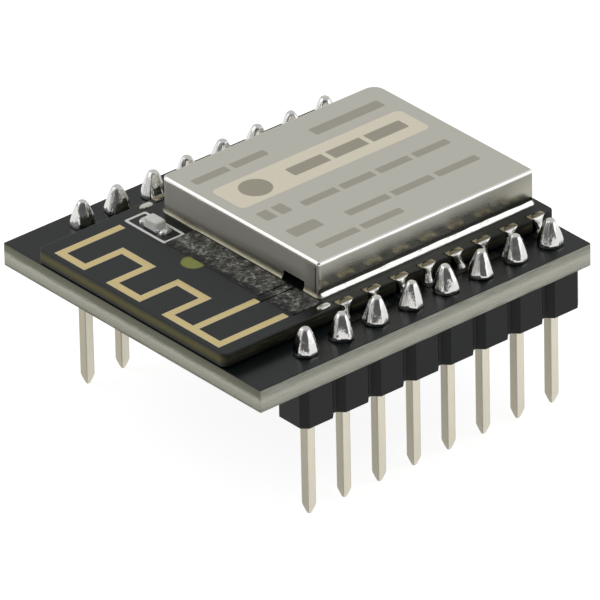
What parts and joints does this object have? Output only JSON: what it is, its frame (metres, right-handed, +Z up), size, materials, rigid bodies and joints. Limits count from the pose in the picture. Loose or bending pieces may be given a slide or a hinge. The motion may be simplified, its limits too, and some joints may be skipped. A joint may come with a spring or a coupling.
{
  "type": "wifi module",
  "caption": "Small wifi module with a meander antenna and a metal shield can, soldered by its edge contacts on a black carrier board with two rows of square header pins.",
  "frame": {"origin": "centre of the carrier board's outline, on the surface that the pin tips stand on", "axes": "+X along the module from the antenna end to the shield can end, +Y across it from the near pin row to the far one, +Z up"},
  "size_m": [0.024, 0.022, 0.0132],
  "materials": {
    "carrier_laminate": "black solder mask, satin, with bare olive glass-fibre edges",
    "module_laminate": "black solder mask, satin, with bare olive glass-fibre edges",
    "header_plastic": "moulded black plastic, satin",
    "pin_plating": "thin pale gold flash on square brass wire",
    "solder": "bright tin solder, smooth and rippled",
    "pad_gold": "gold-flashed copper, dull",
    "trace_gold": "gold-flashed copper track, satin",
    "tinned_copper": "thin rough tinned copper, speckled grey",
    "can_sheet": "satin nickel-plated sheet, bright along the folds",
    "lamp_body": "cloudy resin on a white ceramic base",
    "chip_plastic": "moulded black epoxy",
    "crystal_case": "nickel lid on a ceramic tray",
    "ceramic_body": "brown ceramic with tinned ends"
  },
  "bodies": {
    "root": {"carrier_board": "carrier_laminate", "module_board": "module_laminate", "header_block_near": "header_plastic", "header_block_far": "header_plastic", "header_pin_near_1": "pin_plating", "header_pin_near_2": "pin_plating", "header_pin_near_3": "pin_plating", "header_pin_near_4": "pin_plating", "header_pin_near_5": "pin_plating", "header_pin_near_6": "pin_plating", "header_pin_near_7": "pin_plating", "header_pin_near_8": "pin_plating", "header_pin_far_1": "pin_plating", "header_pin_far_2": "pin_plating", "header_pin_far_3": "pin_plating", "header_pin_far_4": "pin_plating", "header_pin_far_5": "pin_plating", "header_pin_far_6": "pin_plating", "header_pin_far_7": "pin_plating", "header_pin_far_8": "pin_plating", "pin_solder_near_1": "solder", "pin_solder_near_2": "solder", "pin_solder_near_3": "solder", "pin_solder_near_4": "solder", "pin_solder_near_5": "solder", "pin_solder_near_6": "solder", "pin_solder_near_7": "solder", "pin_solder_near_8": "solder", "pin_solder_far_1": "solder", "pin_solder_far_2": "solder", "pin_solder_far_3": "solder", "pin_solder_far_4": "solder", "pin_solder_far_5": "solder", "pin_solder_far_6": "solder", "pin_solder_far_7": "solder", "pin_solder_far_8": "solder", "edge_solder_near": "solder", "edge_solder_far": "solder", "module_edge_pads": "pad_gold", "carrier_lands": "pad_gold", "antenna_trace": "trace_gold", "ground_strip": "tinned_copper", "shield_can": "can_sheet", "can_solder": "solder", "status_led": "lamp_body", "led_solder": "solder", "wifi_chip": "chip_plastic", "flash_chip": "chip_plastic", "crystal": "crystal_case", "capacitors": "ceramic_body", "resistors": "chip_plastic", "rf_inductor": "ceramic_body"}
  },
  "joints": []
}
